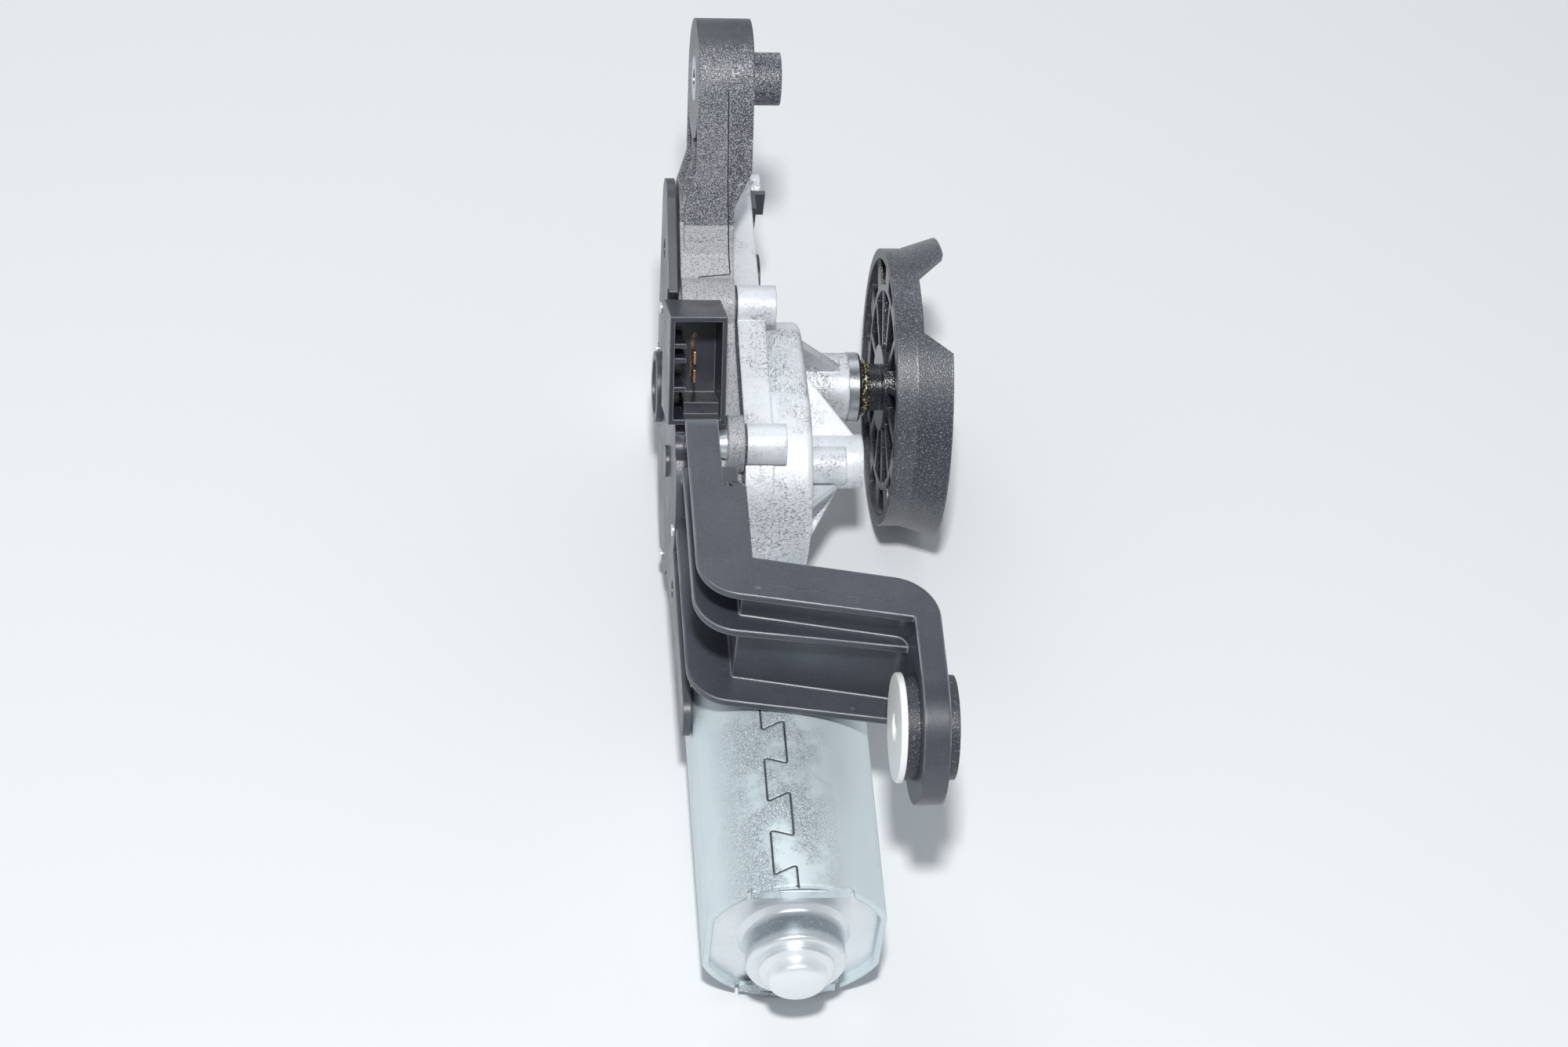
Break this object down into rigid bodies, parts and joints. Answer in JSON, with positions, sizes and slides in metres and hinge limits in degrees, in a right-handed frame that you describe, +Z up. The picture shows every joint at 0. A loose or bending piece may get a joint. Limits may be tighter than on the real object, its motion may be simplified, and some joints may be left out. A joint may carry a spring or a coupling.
{
  "type": "wiper motor",
  "caption": "Rear wiper motor: can motor, worm gear case with link drive, ribbed plastic bracket and a coupling disc on the output shaft.",
  "frame": {"origin": "on the output shaft axis, at the joint face between gear housing and bracket", "axes": "+X out along the output shaft, -Y along the motor can, +Z up"},
  "size_m": [0.072, 0.2352, 0.1172],
  "materials": {
    "cast_aluminium": "as-cast, fine grain",
    "filled_plastic": "moulded, sparkle grain",
    "cover_plastic": "moulded, smooth",
    "connector_plastic": "moulded, satin",
    "disc_plastic": "moulded, satin",
    "terminal_copper": "bare",
    "galvanised_steel": "zinc plated",
    "zinc_screws": "zinc plated",
    "bright_steel": "ground",
    "sintered_bronze": "oil filled",
    "copper": "enamelled wire",
    "ferrite": "matt",
    "white_nylon": "moulded",
    "holder_plastic": "moulded",
    "board_laminate": "laminate",
    "component_plastic": "moulded",
    "rubber": "moulded"
  },
  "bodies": {
    "motor": {"armature_nose_bush": "sintered_bronze", "board_capacitors": "component_plastic", "brush_holder": "holder_plastic", "brush_springs": "bright_steel", "brushes": "ferrite", "case_gasket": "rubber", "case_screws": "zinc_screws", "circuit_board": "board_laminate", "connector_socket": "connector_plastic", "connector_terminals": "terminal_copper", "cover_cap": "cover_plastic", "cover_gasket": "rubber", "cover_pins": "zinc_screws", "driver_chip": "component_plastic", "edge_clip": "cover_plastic", "end_cap": "galvanised_steel", "field_magnets": "ferrite", "foot_rubber_bush": "rubber", "foot_sleeve": "bright_steel", "foot_washer": "zinc_screws", "front_bearing": "sintered_bronze", "front_plate": "galvanised_steel", "gear_cover": "cover_plastic", "gear_housing": "cast_aluminium", "housing_plug": "cover_plastic", "inner_shaft_bush": "sintered_bronze", "leg_rubber_bush": "rubber", "leg_sleeve": "bright_steel", "leg_washer": "zinc_screws", "lobe_threaded_insert": "bright_steel", "motor_can": "galvanised_steel", "motor_relay": "component_plastic", "motor_screws": "zinc_screws", "mounting_bracket": "filled_plastic", "outer_shaft_bush": "sintered_bronze", "rear_bearing": "sintered_bronze", "seal_collar": "bright_steel", "shaft_seal": "rubber", "thrust_ball": "bright_steel", "thrust_pad": "white_nylon", "wheel_axle": "bright_steel"},
    "armature": {"armature_shaft": "bright_steel", "armature_core": "bright_steel", "armature_windings": "copper", "commutator": "copper", "worm": "bright_steel"},
    "wheel": {"worm_wheel": "white_nylon", "crank_pin": "bright_steel"},
    "output": {"output_shaft": "bright_steel", "drive_pinion": "bright_steel", "link_clip": "bright_steel", "shaft_clip": "bright_steel", "coupling_disc": "disc_plastic", "disc_washer": "zinc_screws", "disc_nut": "zinc_screws"},
    "guide": {"guide_link": "bright_steel", "link_pin": "bright_steel"},
    "rod": {"toothed_link": "bright_steel"}
  },
  "joints": [
    {"name": "armature_spin", "type": "hinge", "parent": "motor", "child": "armature", "pos_m": [0.0065, -0.08, -0.0153], "axis": [0, 1, 0], "continuous": true},
    {"name": "wheel_spin", "type": "hinge", "parent": "motor", "child": "wheel", "pos_m": [0.0065, -0.0287, 0.00422], "axis": [1, 0, 0], "continuous": true},
    {"name": "output_turn", "type": "hinge", "parent": "motor", "child": "output", "pos_m": [0.02, 0, 0], "axis": [1, 0, 0], "range_deg": [-60, 60]},
    {"name": "guide_swing", "type": "hinge", "parent": "motor", "child": "guide", "pos_m": [-0.005, 0, 0], "axis": [1, 0, 0], "range_deg": [-20, 20]},
    {"name": "rod_swing", "type": "hinge", "parent": "guide", "child": "rod", "pos_m": [-0.002, -0.00313, 0.01773], "axis": [1, 0, 0], "range_deg": [-20, 20]}
  ],
  "couplings": [
    {"joint": "wheel_spin", "follows": "armature_spin", "ratio": -0.02},
    {"joint": "guide_swing", "follows": "output_turn", "ratio": 0.33333},
    {"joint": "rod_swing", "follows": "output_turn", "ratio": -0.33333}
  ]
}
